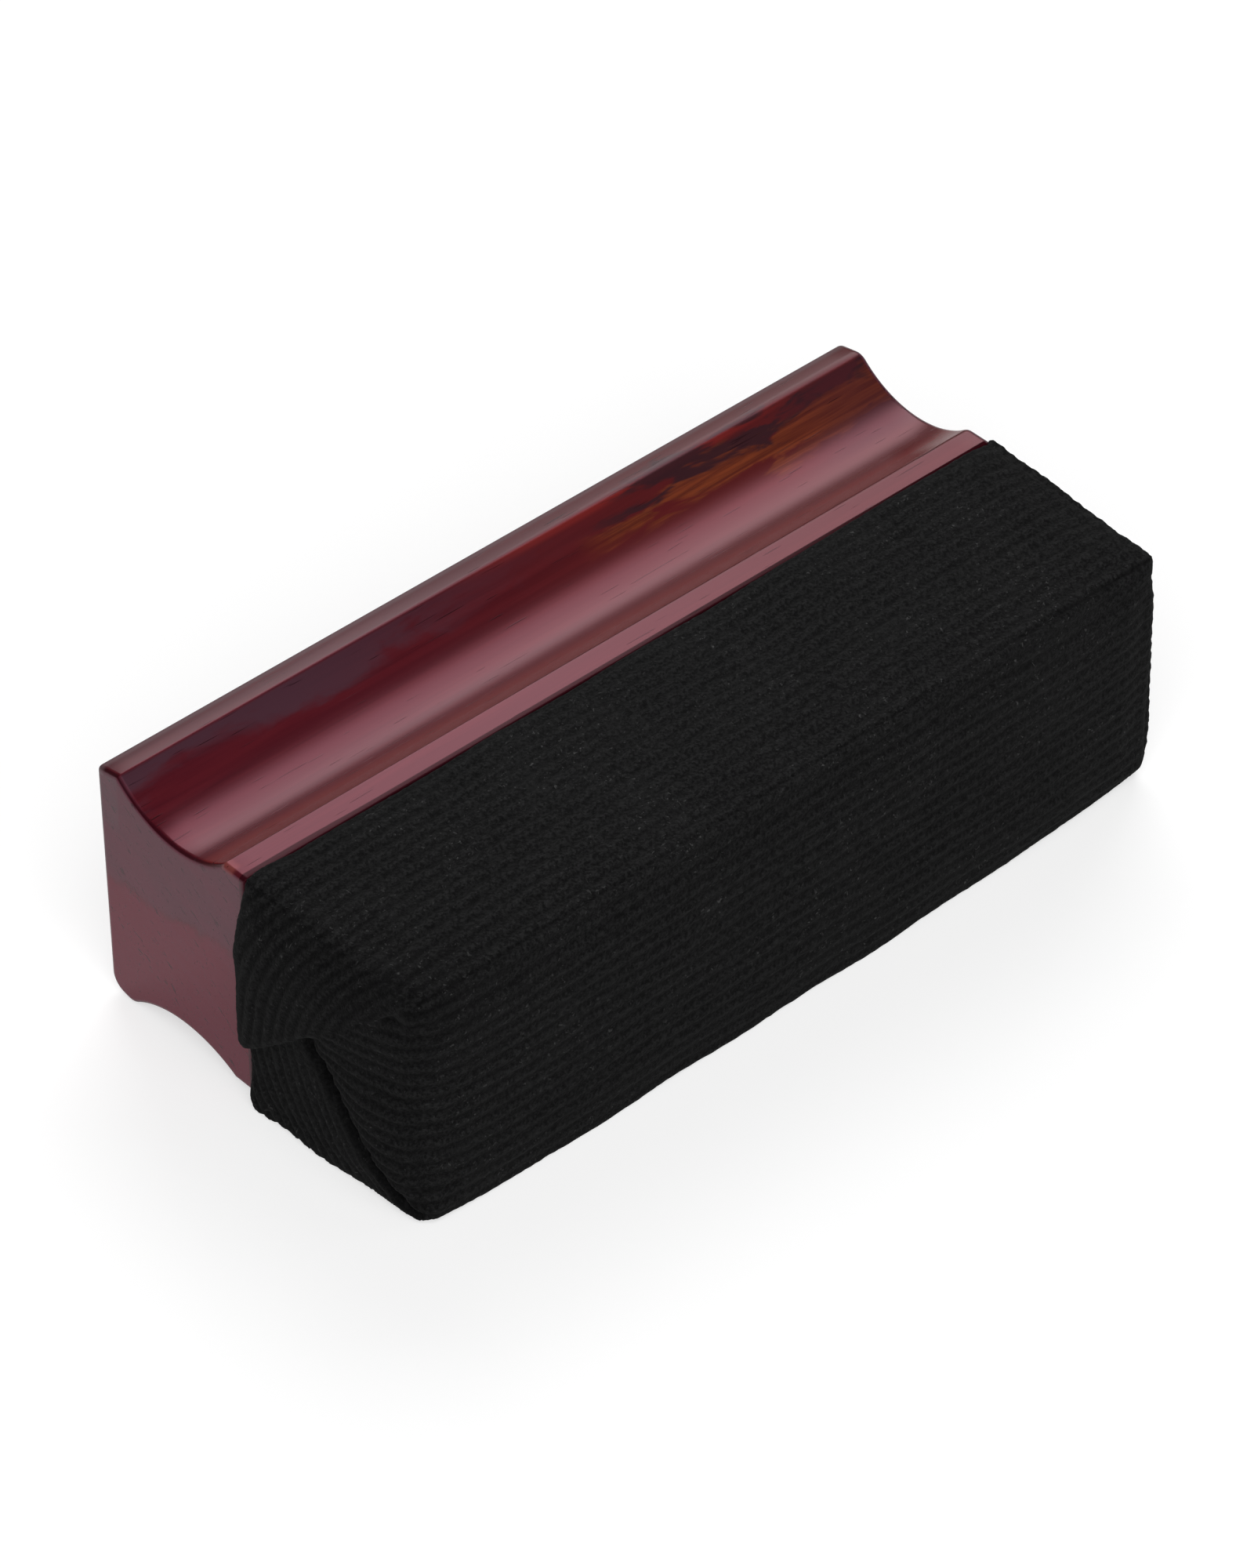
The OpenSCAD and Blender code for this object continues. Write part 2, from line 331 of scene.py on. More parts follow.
def pad_form(q):
    """The pad's soft outer form: a box with round edges, rounder at the ends, sharper under the handle."""
    x, y, z = q.T
    end = grow(abs(x), PAD_L - END_REACH, PAD_L)
    radius = LONG_R + (END_R - LONG_R) * end
    for side, top, share in CORNERS:
        radius *= 1 + (share - 1) * corner_share(q, side, top, CORNER_REACH)
    tucked = TUCK_R + (radius - TUCK_R) * grow(y, PAD_T, PAD_T - TUCK_REACH)
    upright = grow(z, 0, UPRIGHT_REACH) * grow(z, PAD_W, PAD_W - UPRIGHT_REACH) * grow(y, *UPRIGHT_FADE)
    rounder = radius + (UPRIGHT_R - radius) * upright * end * (x < 0)
    front = y < UPRIGHT_FADE[0]
    r = np.stack([np.where(front, rounder, tucked), np.where(front, rounder, TUCK_R), tucked], 1)
    low, high = np.array([-PAD_L, 0, 0]), np.array([PAD_L, PAD_T, PAD_W])
    core = np.clip(q, low + r, high - r)
    turn = (q - core) / r
    turn /= np.linalg.norm(turn, axis=1)[:, None]
    return core + r * turn


def normals_of(points, faces):
    """Directions out of the sheet at its nodes."""
    a = points[faces[:, 2]] - points[faces[:, 0]]
    b = points[faces[:, 3]] - points[faces[:, 1]]
    face = np.cross(a, b)
    total = np.zeros_like(points)
    for c in range(4):
        np.add.at(total, faces[:, c], face)
    return total / np.maximum(np.linalg.norm(total, axis=1), 1e-12)[:, None]


def swell():
    """Cloth simulation of the pad under the pressure of its filling: how far each coarse node moves out."""
    axes = cover_axes(COARSE, COARSE, COARSE)
    nodes, faces = sheet_lattice(axes)
    q = np.stack([axes[a][nodes[:, a]] for a in range(3)], 1)
    start = pad_form(q)
    move = np.zeros(tuple(len(a) for a in axes) + (3,))
    pad = mesh_object("pad_swell", start * SWELL_SCALE, faces)
    pin = pad.vertex_groups.new(name="pin")
    pin.add(np.flatnonzero(q[:, 1] > PAD_T - COARSE / 2).tolist(), 1.0, "REPLACE")
    cloth = pad.modifiers.new("swell", "CLOTH")
    cloth.settings.vertex_group_mass = "pin"
    cloth.settings.use_pressure = True
    cloth.settings.uniform_pressure_force = SWELL_PRESSURE
    cloth.settings.effector_weights.gravity = 0
    cloth.settings.quality = SWELL_QUALITY
    scene = bpy.context.scene
    for frame_number in range(1, SWELL_FRAMES + 1):
        scene.frame_set(frame_number)
    ended = pad.evaluated_get(bpy.context.evaluated_depsgraph_get()).data
    flat = np.empty(len(start) * 3)
    ended.vertices.foreach_get("co", flat)
    step = flat.reshape(-1, 3) / (MM * SWELL_SCALE) - start
    normal = normals_of(start, faces)
    out = (step * normal).sum(1)
    out = SWELL_CAP * np.tanh(np.maximum(out, 0) / SWELL_CAP)
    move[tuple(nodes.T)] = normal * out[:, None]
    bpy.data.objects.remove(pad)
    scene.frame_set(1)
    return axes, move


def field_at(axes, field, q):
    """The coarse field at fine points, by straight lines between its nodes."""
    base, part = [], []
    for a in range(3):
        n = np.clip(np.searchsorted(axes[a], q[:, a], side="right") - 1, 0, len(axes[a]) - 2)
        base.append(n)
        part.append((q[:, a] - axes[a][n]) / (axes[a][n + 1] - axes[a][n]))
    total = np.zeros((len(q), 3))
    for di in (0, 1):
        for dj in (0, 1):
            for dk in (0, 1):
                w = ((part[0] if di else 1 - part[0]) * (part[1] if dj else 1 - part[1])
                     * (part[2] if dk else 1 - part[2]))
                total += w[:, None] * field[base[0] + di, base[1] + dj, base[2] + dk]
    return total


# Random waves: how many are added up, and the spread of their lengths
WAVE_COUNT = 7
WAVE_SPREAD = (0.7, 1.5)


def waves(q, length):
    """A smooth random field of about -1 to 1, with bumps of that length."""
    total = np.zeros(len(q))
    for _ in range(WAVE_COUNT):
        way = rng.normal(size=3)
        way *= 2 * np.pi / (length * rng.uniform(*WAVE_SPREAD)) / np.linalg.norm(way)
        total += np.sin(q @ way + rng.uniform(0, 2 * np.pi))
    return total / math.sqrt(WAVE_COUNT)


# Folds of an end: where the edges of the three flaps lie
CROSS = 22.0
NOTCH_Z = 10.6
FOLD_SLOPE = (PAD_W - NOTCH_Z) / PAD_T
CROSS_Z = PAD_W - FOLD_SLOPE * CROSS
HIGH_ZONE = (CROSS_Z - 3.0, CROSS_Z + 5.0)
FOLD_BOW = 1.7
LOWER_R = 1.7
UPPER_R = 1.2

# First flap: its dome and its dive under the lower flap, each with the spans over which it grows
FIRST_UP = 1.9
DOME_SPAN = (0, 14)
DOME_POWER = 0.9
FIRST_DIVE = 1.5
DIVE_SPAN = (3.2, 0)
DIVE_EDGE = (0, 3)

# First flap under the upper one: how far below it stays, and how it rises
UNDER_UPPER = 0.15
RISE_POWER = 0.8
LEAST_EDGE = 0.5

# Dent by the upper corner: depth, reach, and its place from the wiping face and from the top
DENT = (1.0, 2.4, 5.0, 5.2)

# Lower flap: heights at the fold, inside, and where layers pile up, with spans in Z and Y
LOWER_UP = (0.3, 0.5, 1.1)
LOWER_INSIDE = (0, 6)
LOWER_PILE = ((7, 0), (8, 23))

# Upper flap: heights as for the lower flap and by the handle, with spans from the top down and in Y
UPPER_UP = (0.35, 0.55, 1.6, 0.05)
UPPER_INSIDE = (0, 5)
UPPER_PILE = ((1, 13), (4, 20))
UPPER_BY_HANDLE = ((8, 0), (16, 30))

# Ribs on the flaps: lean towards the handle (slope, reach, length), gathering, and fan of the first flap
LEAN = (0.15, 5.6, 8.0)
GATHER = 0.2
GATHER_REACH = 20.0
FAN = 0.35
FAN_Z = 1.2

# Strength of the ribs: on the first flap, at the other flaps' folds, and their gain on lower and upper flap
FIRST_RIBS = 1.3
FOLD_RIBS = 0.4
LOWER_RIBS = 1.0
LOWER_RIB_SPAN = (1, 6)
UPPER_RIBS = 1.3
UPPER_RIB_SPAN = (3, 12)

# Shade along the lower flap's edge (place and width), and on the first flap
CREASE_SHADE = (0.3, 4.0)
FIRST_SHADE = 0.12


def lean(travel):
    """How far the ribs of an end flap have moved towards the handle."""
    return LEAN[0] * travel + LEAN[1] * (1 - np.exp(-travel / LEAN[2]))


def gathered(y, travel):
    """Distance from the handle's side, stretched as the flap is gathered."""
    return (PAD_T - y) * (1 + GATHER * grow(travel, 0, GATHER_REACH))


def roll(inside):
    """Rise of a rolled edge, from 0 at the edge to 1 at its radius."""
    return np.sqrt(1 - (1 - np.clip(inside, 0, 1)) ** 2)


def first_flap(y, z, upper):
    """Height of the wiping face's flap, which the other two cover."""
    down = PAD_W - z
    bowed = z + FOLD_BOW * np.sin(np.pi * np.clip(z / CROSS_Z, 0, 1))
    edge = np.where(z < CROSS_Z, bowed, down / FOLD_SLOPE)
    share = np.clip(y / np.maximum(edge, LEAST_EDGE), 0, 1)
    dive = FIRST_DIVE * grow(edge - y, *DIVE_SPAN) * grow(edge, *DIVE_EDGE)
    domed = FIRST_UP * grow(edge, *DOME_SPAN) * np.sin(np.pi * share ** DOME_POWER) - dive
    rising = (upper - UNDER_UPPER) * np.sin(np.pi / 2 * share) ** RISE_POWER
    depth, reach, dent_y, dent_down = DENT
    dent = depth * bell((y - dent_y) / reach, (down - dent_down) / reach)
    return domed + (rising - domed) * grow(z, *HIGH_ZONE) - dent


def end_folds(y, z):
    """Height over the form, place across the ribs, strength of the ribs and shade, on an end of the pad."""
    down = PAD_W - z
    upper_in = (z - PAD_W + FOLD_SLOPE * y) / math.hypot(1, FOLD_SLOPE)
    bow = FOLD_BOW * np.sin(np.pi * np.clip(y / CROSS, 0, 1))
    lower_in = (y - bow - z) / math.sqrt(2)
    on_upper, on_lower = upper_in > 0, lower_in > 0

    upper = UPPER_UP[0] + UPPER_UP[1] * grow(down, *UPPER_INSIDE)
    upper += UPPER_UP[2] * grow(down, *UPPER_PILE[0]) * grow(y, *UPPER_PILE[1])
    upper += UPPER_UP[3] * grow(down, *UPPER_BY_HANDLE[0]) * grow(y, *UPPER_BY_HANDLE[1])
    lower = LOWER_UP[0] + LOWER_UP[1] * grow(z, *LOWER_INSIDE)
    lower += LOWER_UP[2] * grow(z, *LOWER_PILE[0]) * grow(y, *LOWER_PILE[1])
    first = first_flap(y, z, upper)
    second = first + (lower - first) * roll(lower_in / LOWER_R)
    third = second + np.maximum(upper - second, 0) * roll(upper_in / UPPER_R)

    v_first = (z - PAD_Z - FAN_Z) * (1 + FAN * y / CROSS) + FAN_Z
    v_lower = -PAD_Z - PAD_T + gathered(y, z) + lean(z)
    v_upper = PAD_Z + PAD_T - gathered(y, down) - lean(down)
    v = np.where(on_upper, v_upper, np.where(on_lower, v_lower, v_first))
    ribbed = np.where(on_lower, FOLD_RIBS + LOWER_RIBS * grow(lower_in, *LOWER_RIB_SPAN), FIRST_RIBS)
    ribbed = np.where(on_upper, FOLD_RIBS + UPPER_RIBS * grow(y, *UPPER_RIB_SPAN), ribbed)

    crease_at, crease_wide = CREASE_SHADE
    dark = grow(abs(lower_in - crease_at), crease_wide, 0) + FIRST_SHADE * ~on_lower
    return third, v, ribbed, dark * grow(z, *HIGH_ZONE[::-1]) * ~on_upper


# Ribs: pitch, height, wander and change of height as amount and length of the waves
RIB = 2.36
RIB_UP = 0.25
RIB_MOST = 1.2
RIB_WANDER = ((0.17, 28), (0.08, 6))
RIB_CHANGE = (0.2, 14)
RIB_END = 1.2
UNEVEN = (0.1, 18)

# Ribs worn low at the upper corners (share and reach) and at the right end
CORNER_WORN = (0.55, 6.5)
RIGHT_WORN = 0.6
RIGHT_WORN_X = (64, 69)

# Painted groove shade that shows more at the left, and in the middle of the wiping face
LEFT_GROOVE_SHADE = 0.5
LEFT_GROOVE_SHADE_X = (-25, -60)
WIPE_GROOVE_SHADE = 0.3
WIPE_GROOVE_SHADE_X = (50, 30)

# Right end, over a span from the top down: bulge, and dip with its place and width
RIGHT_SPAN = (12, 0)
RIGHT_BULGE = 0.5
RIGHT_BULGE_Y = (12, 24)
RIGHT_DIP = (1.3, 5.5, 3.4)

# Notch under the right upper corner: depth, distance below the top and reach
RIGHT_NOTCH = (0.55, 4.0, 3.0)

# Wear of the lower edge towards the right: depth and reach
LOW_WEAR = (0.5, 2.2)
LOW_WEAR_X = (15, 50)

# Crown of the wiping face, from the ends inwards
CROWN = 0.6
CROWN_X = (PAD_L, PAD_L - 22)

# Lift of the cloth by the handle: all along with its waves, on the right half, and at the left end
LIFT = 0.05
LIFT_WAVES = (0.7, 20)
LIFT_RIGHT = 0.6
LIFT_RIGHT_X = ((10, 55), (72, 64))
LIFT_LEFT = 0.5
LIFT_LEFT_X = (-61, -67)
LIFT_Y = ((16, 30), (PAD_T, PAD_T - 0.7))

# Shade along the upper edge (place and width), on the ends, and at the left upper corner with its reach
EDGE_SHADE = 0.7
EDGE_SHADE_X = (34, 52)
EDGE_LINE = (PAD_Z + 0.2, 0.6)
END_SHADE = 0.2
CORNER_SHADE = (0.5, 11.0)
SHADE_SCALE = 1.5


def cover_grid():
    """Nodes of the fine sheet as places in the pad's box, its quads, and which part each node is on."""
    axes = cover_axes(CELL, CELL_X, END_CELL)
    nodes, faces = sheet_lattice(axes)
    q = np.stack([axes[a][nodes[:, a]] for a in range(3)], 1)
    last = [len(a) - 1 for a in axes]
    on_end = (nodes[:, 0] % last[0]) == 0
    part = {"end": on_end, "margin": (nodes[:, 1] == last[1]) & ~on_end, "wiping": nodes[:, 1] == 0,
            "top": nodes[:, 2] == last[2], "floor": nodes[:, 2] == 0}
    return q, faces, part


def wear_marks(q, part):
    """Bulge, dips and worn edges of the right end and the lower edge."""
    x, y, z = q.T
    dip, dip_y, dip_wide = RIGHT_DIP
    near_top = grow(PAD_W - z, *RIGHT_SPAN) * (part["end"] & (x > 0))
    up = near_top * (RIGHT_BULGE * grow(y, *RIGHT_BULGE_Y) - dip * bell((y - dip_y) / dip_wide))
    depth, below, reach = RIGHT_NOTCH
    gap = q - np.array([PAD_L, 0, PAD_W - below])
    up -= depth * bell(*gap.T / reach)
    depth, reach = LOW_WEAR
    return up - depth * grow(x, *LOW_WEAR_X) * bell(y / reach, z / reach)


def rib_height(q, ribbed, part):
    """Height of the ribs, which are lower where the cloth is worn and fade out at the handle."""
    x, y, _ = q.T
    change, length = RIB_CHANGE
    height = RIB_UP * np.minimum(ribbed, RIB_MOST) * (1 + change * waves(q, length)) * ~part["margin"]
    height *= grow(y, PAD_T, PAD_T - RIB_END) * (1 - RIGHT_WORN * grow(x, *RIGHT_WORN_X))
    worn, reach = CORNER_WORN
    return height * (1 - worn * np.maximum(corner_share(q, -1, 1, reach), corner_share(q, 1, 1, reach)))


def handle_lift(q, part):
    """How far the cloth stands up along the handle."""
    x, y, _ = q.T
    change, length = LIFT_WAVES
    lift = LIFT * (1 + change * waves(q, length)) + LIFT_LEFT * grow(x, *LIFT_LEFT_X)
    lift += LIFT_RIGHT * grow(x, *LIFT_RIGHT_X[0]) * grow(x, *LIFT_RIGHT_X[1])
    return lift * grow(y, *LIFT_Y[0]) * grow(y, *LIFT_Y[1]) * part["top"]


def cover_shape():
    """Points and quads of the folded cloth, and how light each point is painted between groove and rib, with
    painted shade in the creases, on the ends and along the upper edge.
    """
    q, faces, part = cover_grid()
    x, y, z = q.T
    on_end, margin, wiping = part["end"], part["margin"], part["wiping"]
    points = pad_form(q) + field_at(*swell(), q)
    normal = normals_of(points, faces)

    v = np.where(part["top"], PAD_Z + y, np.where(part["floor"], -PAD_Z - y, z - PAD_Z))
    up, ribbed, dark = np.zeros(len(q)), np.ones(len(q)), np.zeros(len(q))
    up[on_end], v[on_end], ribbed[on_end], dark[on_end] = end_folds(y[on_end], z[on_end])
    dark += EDGE_SHADE * grow(x, *EDGE_SHADE_X) * bell((v - EDGE_LINE[0]) / EDGE_LINE[1]) * ~on_end
    dark += END_SHADE * on_end + CORNER_SHADE[0] * corner_share(q, -1, 1, CORNER_SHADE[1])

    for amount, length in RIB_WANDER:
        v += amount * waves(q, length)
    rib = 0.5 - 0.5 * np.cos(2 * np.pi * v / RIB)
    up += wear_marks(q, part) + rib_height(q, ribbed, part) * (rib - 0.5)
    up += UNEVEN[0] * waves(q, UNEVEN[1]) * ~margin
    up += CROWN * grow(abs(x), *CROWN_X) * wiping + handle_lift(q, part)
    points += normal * up[:, None] + GRAIN * rng.normal(size=points.shape)

    points[:, 1] = np.where(margin, np.minimum(points[:, 1], PAD_T - MARGIN_GAP), points[:, 1])
    points[:, 2] = np.maximum(points[:, 2], LEAST_Z)
    points[:, 1] += WIPE_Y
    grooves = 1 + LEFT_GROOVE_SHADE * grow(x, *LEFT_GROOVE_SHADE_X)
    grooves += WIPE_GROOVE_SHADE * wiping * grow(abs(x), *WIPE_GROOVE_SHADE_X)
    ribbed = np.where(on_end, ribbed, ribbed * grooves)
    # Painted shade: the grooves, creases, ends and upper edge darken the cloth through this value
    return points, faces, 1 - (1 - rib) * ribbed - SHADE_SCALE * dark


def make_cover():
    """The corduroy sheet, with its grooves and painted shade kept as an attribute for the material."""
    points, faces, rib = cover_shape()
    cover = mesh_object("corduroy_sheet", points, faces)
    cover.data.shade_smooth()
    shade = cover.data.attributes.new("rib", "FLOAT", "POINT")
    shade.data.foreach_set("value", rib.astype(np.float32))
    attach(cover, "root")
    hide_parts("corduroy_cover")
    return cover


handle = make_handle()
cover = make_cover()


# Materials
def colour(r, g, b):
    """A colour as the nodes take it."""
    return (r, g, b, 1.0)


class Nodes:
    """A material's node tree, with short ways to add to it."""

    def __init__(self, name):
        self.material = bpy.data.materials.new(name)
        self.material.use_nodes = True
        self.tree = self.material.node_tree
        self.shader = self.tree.nodes["Principled BSDF"]

    def node(self, kind, inputs=None, **settings):
        """Adds a node with these settings and inputs."""
        made = self.tree.nodes.new(kind)
        for name, value in settings.items():
            setattr(made, name, value)
        for name, value in (inputs or {}).items():
            self.put(made.inputs[name], value)
        return made

    def put(self, socket, value):
        """Links another socket to this one, or sets a plain value."""
        if isinstance(value, bpy.types.NodeSocket):
            self.tree.links.new(value, socket)
        else:
            socket.default_value = value

    def math(self, operation, a, b=0.0, clamp=False):
        """The result of one sum."""
        made = self.node("ShaderNodeMath", {0: a, 1: b}, operation=operation, use_clamp=clamp)
        return made.outputs[0]

    def all(self, *shares):
        """The product of several shares."""
        total = shares[0]
        for share in shares[1:]:
            total = self.math("MULTIPLY", total, share)
        return total

    def ramp(self, value, low, high, to_low=0.0, to_high=1.0):
        """A smooth change from to_low at low to to_high at high."""
        made = self.node("ShaderNodeMapRange", {0: value, 1: low, 2: high, 3: to_low, 4: to_high})
        made.interpolation_type = "SMOOTHSTEP"
        return made.outputs[0]

    def mix(self, share, a, b):
        """Colour a with that share of colour b."""
        made = self.node("ShaderNodeMix", data_type="RGBA")
        for socket, value in ((made.inputs[0], share), (made.inputs[6], a), (made.inputs[7], b)):
            self.put(socket, value)
        return made.outputs[2]

    def blend(self, value, span, dark, light):
        """A colour that goes from dark to light over a span of the value."""
        return self.mix(self.ramp(value, *span), colour(*dark), colour(*light))

    def place(self, scale=(1, 1, 1), turn=0.0):
        """Object coordinates in millimetres, turned about X and then times scale."""
        at = self.node("ShaderNodeTexCoord").outputs["Object"]
        at = self.node("ShaderNodeMapping", {"Vector": at, "Rotation": (turn, 0, 0)}).outputs[0]
        to_mm = tuple(s / MM for s in scale)
        return self.node("ShaderNodeMapping", {"Vector": at, "Scale": to_mm}).outputs[0]

    def axes(self):
        """Object coordinates in millimetres, one by one."""
        return self.node("ShaderNodeSeparateXYZ", {0: self.place()}).outputs

    def noise(self, scale, detail, rough, warp=0.0, turn=0.0):
        """Noise of that scale per millimetre along each axis."""
        inputs = {"Vector": self.place(scale, turn), "Scale": 1.0, "Detail": detail,
                  "Roughness": rough, "Distortion": warp}
        return self.node("ShaderNodeTexNoise", inputs).outputs["Fac"]

    def bump(self, height, distance, strength):
        """Normals for a height pattern of that distance in millimetres."""
        inputs = {"Height": height, "Distance": distance * MM, "Strength": strength}
        return self.node("ShaderNodeBump", inputs).outputs[0]

    def finish(self, **inputs):
        """Sets the shader's inputs and gives the material."""
        for name, value in inputs.items():
            self.put(self.shader.inputs[name.replace("_", " ")], value)
        return self.material


def share_of(m, at, limits):
    """Product of the limits, each a place's own share or a rise over a span of that place."""
    return m.all(*(m.ramp(at[place], *span) if span else at[place] for place, *span in limits))


def painted(m, at, body, patches):
    """The colour with patches painted over it in their order."""
    for paint, strength, limits in patches.values():
        share = m.math("MULTIPLY", share_of(m, at, limits), strength)
        body = m.mix(share, body, at[paint] if paint in at else colour(*paint))
    return body


# Patterns of the wood: scale per millimetre along each axis, detail, roughness, warp and turn about X
WOOD_NOISE = {
    "streak": ((0.012, 0.30, 0.30), 4, 0.6, 0.4),
    "fine": ((0.05, 1.6, 1.6), 3, 0.6),
    "warp": ((0.05, 0.16, 0.16), 4, 0.6, 0.6),
    "patch": ((0.055, 0.3, 0.3), 3, 0.6, 0.8),
    "band": ((0.2, 0.05, 0.26), 2, 0.5, 0.3, -0.35),
    "pore": ((0.12, 3.2, 3.2), 1, 0.5),
    "row": ((0.3, 0.06, 0.75), 1, 0.5, 0.0, -0.63),
    "dash": ((0.3, 0.7, 1.9), 2, 0.5, 0.0, -0.63),
}

# Stain along the streaks, and the amber of the flame: span of the pattern, dark and light
STAIN = ((0.35, 0.7), (0.052, 0.0050, 0.0092), (0.082, 0.0085, 0.0130))
AMBER = ((0.35, 0.65), (0.075, 0.015, 0.008), (0.150, 0.033, 0.012))

# Places the figure and the painted light and shade go by: spans of the top and the ends, and the terms of the
# other places
TOP_Z = (30, 34)
END_X = (69.55, 69.65)
WARP_SPAN = (0.2, 0.8)
COVE_WARP = (-3.5, 3.5)
RING_WARP = (-1.5, 1.5)
RING_SLANT = 0.147
FURTHER_RIGHT = (28, 40, 0, 0.15)
SEAM_LEFT = (-44, -62, 0, 0.3)

# Limits that serve colour and lacquer: the trough of the cove, with its painted reflection, and the painted
# shadow line at the joint
TROUGH = (("top",), ("y", 12.6, 9.6), ("y", 6.3, 6.7))
JOINT_SHADOW = (("seam", 2.78, 2.58),)

# Figure of the wood, with painted highlights, reflections and shadow among it, laid on in this order: colour,
# strength and limits
# A limit is a share by itself, or a place with its span and the values at both ends if not 0 and 1
WOOD_PATCHES = {
    "lines": ((0.030, 0.0035, 0.0065), 0.4, (("fine", 0.45, 0.8),)),
    "warmer to the right": ((0.082, 0.0110, 0.0085), 0.6, (("x", -40, 50),)),
    "dusk": ((0.028, 0.011, 0.016), 0.6, (("top",), ("x", 46, 62), ("y", 15, 18), ("y", 28.6, 28.2))),
    "flame": ("amber", 1.0, (("top",), ("x", 10, 20), ("cove", 20.8, 22.2), ("cove", 27.0, 25.4),
                             ("further", 0.36, 0.50), ("x", 46, 66, 1, 0.45))),
    # Painted highlight: an orange-red line of light along the flange's edge of the cove
    "arris highlight": ((0.135, 0.013, 0.012), 1.0, (("top",), ("x", -14, 8), ("x", 62, 38), ("y", 27.5, 28.2),
                                           ("y", 28.9, 28.6))),
    # Painted reflection: the trough is redder where the cove's own red wall is reflected in it
    "trough": ((0.150, 0.018, 0.017), 0.8, TROUGH),
    "soot": ((0.024, 0.010, 0.013), 0.9, (("top",), ("x", 8, 24), ("cove", 24.8, 26.2),
                                          ("cove", 29.2, 28.2), ("patch", 0.58, 0.46))),
    # Painted reflection: a bluish-grey sheen band along the flange towards the left
    "grey reflection band": ((0.052, 0.025, 0.036), 0.8, (("top",), ("x", 20, -45), ("cove", 24.2, 27.6),
                                            ("y", 28.6, 28.2))),
    # The end's upper part is greyer, partly another growth ring and partly a painted grey sheen
    "upper end": ((0.072, 0.018, 0.030), 1.0, (("end",), ("ring", 25.0, 27.0))),
    "lower end": ((0.112, 0.007, 0.020), 1.0, (("end",), ("ring", 26.5, 24.5))),
    "growth bands": ((0.110, 0.016, 0.034), 0.30, (("end",), ("band", 0.40, 0.64))),
    "left rim": ((0.022, 0.0015, 0.004), 0.8, (("x", -69.1, -69.35), ("x", -69.66, -69.58), ("y", 6.0, 7.2))),
    # Painted highlight: a lighter grey line along the flange's outer edge
    "outer edge highlight": ((0.115, 0.075, 0.082), 0.7, (("z", 39.8, 40.4), ("y", 31.3, 32.3))),
    "nose": ((0.230, 0.060, 0.050), 0.55, (("z", 39.4, 40.2), ("x", -67.6, -69.2), ("y", 6.9, 6.3),
                                           ("y", 3.8, 4.8))),
    # Painted shadow: a dark line on the wood where the cloth meets the base strip
    "seam": ((0.022, 0.0025, 0.0050), 0.9, JOINT_SHADOW),
}

# Pores along the grain and cut across it on the ends, and their colour, strength and bump
PORES = (("pore", 0.70, 0.76),)
CUT_PORES = (("end",), ("row", 0.56, 0.64), ("dash", 0.56, 0.62))
PORE_COLOUR = (0.008, 0.002, 0.003)
PORE_SHARE = 0.75
PORE_BUMP = (0.05, 0.3)

# Lacquer: roughness, specular level, and where the level is lower, by how much and within which limits
LACQUER_ROUGH = 0.27
LACQUER_LEVEL = 0.5
LOWER_LEVELS = {
    "cove wall": (0.36, (("y", 18.5, 22.0), ("y", 28.8, 28.4, 0.4, 1))),
    "base strip": (0.13, (("y", 6.6, 6.0), ("x", -20, 60))),
    "flank": (0.09, (("y", 28.6, 29.2), ("y", 31.6, 30.6), ("x", -30, 0))),
    "seam": (0.37, JOINT_SHADOW),
    "trough": (0.22, TROUGH),
}
LEVEL_LIMITS = (("top",), ("end", 1, 0))

# Tint of the shine, and on the flank of the flange
SHINE = (1.0, 0.26, 0.38)
FLANK_SHINE = (1.0, 0.56, 0.64)
FLANK_LIMITS = (("top",), ("y", 28.6, 29.2))


def wood_places(m):
    """What the wood's figure goes by: millimetres, patterns, and shares of the top and the ends."""
    at = dict(zip("xyz", m.axes()))
    for name, pattern in WOOD_NOISE.items():
        at[name] = m.noise(*pattern)
    at["amber"] = m.blend(at["fine"], *AMBER)
    at["top"] = m.ramp(at["z"], *TOP_Z)
    at["end"] = m.ramp(m.math("ABSOLUTE", at["x"]), *END_X)
    at["cove"] = m.math("ADD", at["y"], m.ramp(at["warp"], *WARP_SPAN, *COVE_WARP))
    at["further"] = m.math("ADD", at["patch"], m.ramp(at["x"], *FURTHER_RIGHT))
    slanted = m.math("ADD", at["z"], m.math("MULTIPLY", at["y"], RING_SLANT))
    at["ring"] = m.math("ADD", slanted, m.ramp(at["warp"], *WARP_SPAN, *RING_WARP))
    at["seam"] = m.math("SUBTRACT", at["y"], m.ramp(at["x"], *SEAM_LEFT))
    return at


def lacquer_level(m, at):
    """Specular level of the lacquer, lower in some places on top."""
    total = 0.0
    for amount, limits in LOWER_LEVELS.values():
        total = m.math("ADD", m.math("MULTIPLY", share_of(m, at, limits), amount), total)
    return m.math("SUBTRACT", LACQUER_LEVEL, m.all(total, share_of(m, at, LEVEL_LIMITS)))


def wood_finish():
    """Dark mahogany stain under satin lacquer, with painted highlights, reflections and a painted shadow line
    in its colour.
    """
    m = Nodes("stained_wood")
    at = wood_places(m)
    body = painted(m, at, m.blend(at["streak"], *STAIN), WOOD_PATCHES)
    pores = share_of(m, at, PORES)
    dots = m.math("MAXIMUM", pores, share_of(m, at, CUT_PORES))
    body = m.mix(m.math("MULTIPLY", dots, PORE_SHARE), body, colour(*PORE_COLOUR))
    tint = m.mix(share_of(m, at, FLANK_LIMITS), colour(*SHINE), colour(*FLANK_SHINE))
    return m.finish(Base_Color=body, Roughness=LACQUER_ROUGH, Specular_Tint=tint,
                    Specular_IOR_Level=lacquer_level(m, at), Normal=m.bump(pores, *PORE_BUMP))


